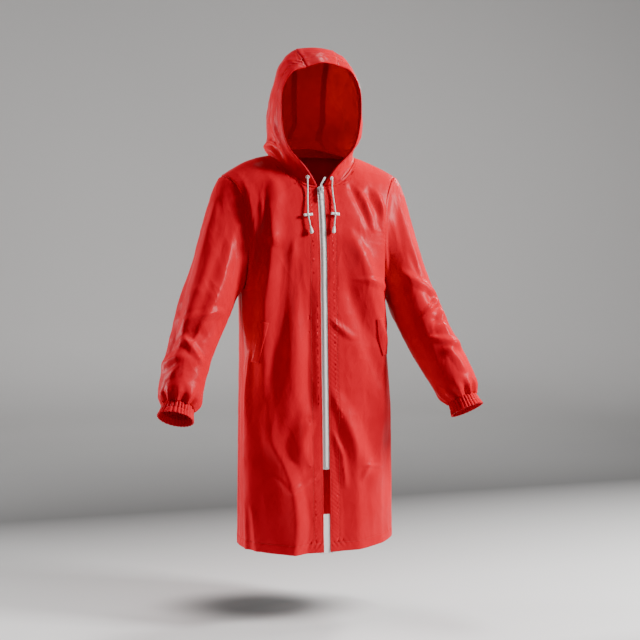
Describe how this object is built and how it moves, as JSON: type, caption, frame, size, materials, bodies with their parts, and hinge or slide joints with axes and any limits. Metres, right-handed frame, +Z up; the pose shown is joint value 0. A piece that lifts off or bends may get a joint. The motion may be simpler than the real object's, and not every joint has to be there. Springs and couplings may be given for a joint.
{
  "type": "hooded rain coat",
  "caption": "Child's long hooded rain coat with a front zip, gathered cuffs, slanted pockets and hood drawcords, kept in its worn form with nobody in it.",
  "frame": {"origin": "mount worn_on_shoulders: between the shoulders, level with the points where the shoulder seams meet the neck", "axes": "+Z up, -Y the way the wearer faces, +X towards the wearer's left"},
  "size_m": [0.6299, 0.2827, 0.9773],
  "materials": {
    "red_cloth": "coated, slightly shiny",
    "white_tape": "woven",
    "white_cord": "braided",
    "white_plastic": "satin",
    "zip_metal": "satin"
  },
  "bodies": {
    "coat": {"back_panel": "red_cloth", "front_panel_right": "red_cloth", "front_panel_left": "red_cloth", "sleeve_right": "red_cloth", "sleeve_left": "red_cloth", "sleeve_lower_right": "red_cloth", "sleeve_lower_left": "red_cloth", "cuff_right": "red_cloth", "cuff_left": "red_cloth", "hood_side_right": "red_cloth", "hood_side_left": "red_cloth", "hood_strip": "red_cloth", "hood_casing": "red_cloth", "pocket_welt_right": "red_cloth", "pocket_welt_left": "red_cloth", "zip_tape_right": "white_tape", "zip_tape_left": "white_tape", "hem_tape": "white_tape", "zip_chain": "white_plastic", "zip_slider": "zip_metal", "zip_stop": "zip_metal", "eyelet_right": "white_plastic", "eyelet_left": "white_plastic", "cord_right": "white_cord", "cord_left": "white_cord", "toggle_right": "white_plastic", "toggle_left": "white_plastic", "cord_end_right": "white_plastic", "cord_end_left": "white_plastic"},
    "pull_tab": {"zip_pull": "zip_metal"}
  },
  "joints": [
    {"name": "pull_tab_hinge", "type": "hinge", "parent": "coat", "child": "pull_tab", "pos_m": [0, -0.07485, -0.06787], "axis": [-1, 0, 0], "range_deg": [0, 150]}
  ]
}
